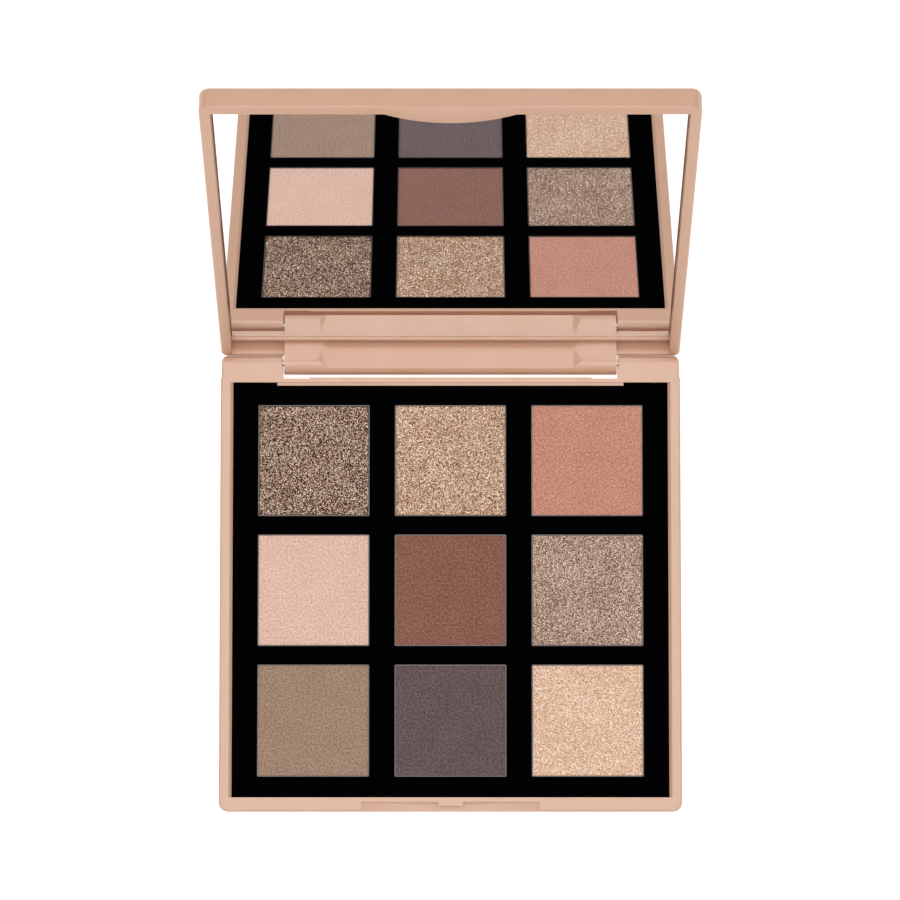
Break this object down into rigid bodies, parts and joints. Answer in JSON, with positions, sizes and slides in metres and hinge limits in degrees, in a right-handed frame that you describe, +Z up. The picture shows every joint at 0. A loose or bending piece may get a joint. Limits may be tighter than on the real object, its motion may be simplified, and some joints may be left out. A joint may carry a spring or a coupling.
{
  "type": "eyeshadow palette",
  "caption": "Slim square eyeshadow palette with a mirrored lid on steel pins, a finger notch, and a black tray of metal pans holding pressed powders.",
  "frame": {"origin": "middle of the base's flat underside", "axes": "+Z up out of the pans, +Y from the finger notch towards the hinge, +X to the right when the hinge is at the back"},
  "size_m": [0.0994, 0.1417, 0.0934],
  "materials": {
    "case_plastic": "satin",
    "tray_plastic": "matte",
    "pin_steel": "drawn",
    "glue": "matte",
    "pan_metal": "stamped",
    "powder_taupe_glitter": "glitter",
    "powder_gold_glitter": "glitter",
    "powder_coral": "matte",
    "powder_peach": "matte",
    "powder_red_brown": "matte",
    "powder_taupe_shimmer": "shimmer",
    "powder_tan": "matte",
    "powder_plum": "matte",
    "powder_champagne": "satin",
    "tape": "matte",
    "mirror": "polished"
  },
  "bodies": {
    "base": {"base_shell": "case_plastic", "pan_tray": "tray_plastic", "hinge_pin_left": "pin_steel", "hinge_pin_right": "pin_steel", "pan_glue": "glue", "pan_1": "pan_metal", "pan_2": "pan_metal", "pan_3": "pan_metal", "pan_4": "pan_metal", "pan_5": "pan_metal", "pan_6": "pan_metal", "pan_7": "pan_metal", "pan_8": "pan_metal", "pan_9": "pan_metal", "powder_1": "powder_taupe_glitter", "powder_2": "powder_gold_glitter", "powder_3": "powder_coral", "powder_4": "powder_peach", "powder_5": "powder_red_brown", "powder_6": "powder_taupe_shimmer", "powder_7": "powder_tan", "powder_8": "powder_plum", "powder_9": "powder_champagne"},
    "lid": {"lid_shell": "case_plastic", "mirror_tape": "tape", "mirror_glass": "mirror"}
  },
  "joints": [
    {"name": "lid_hinge", "type": "hinge", "parent": "base", "child": "lid", "pos_m": [0, 0.04755, 0.0057], "axis": [1, 0, 0], "range_deg": [0, 113.8]}
  ]
}
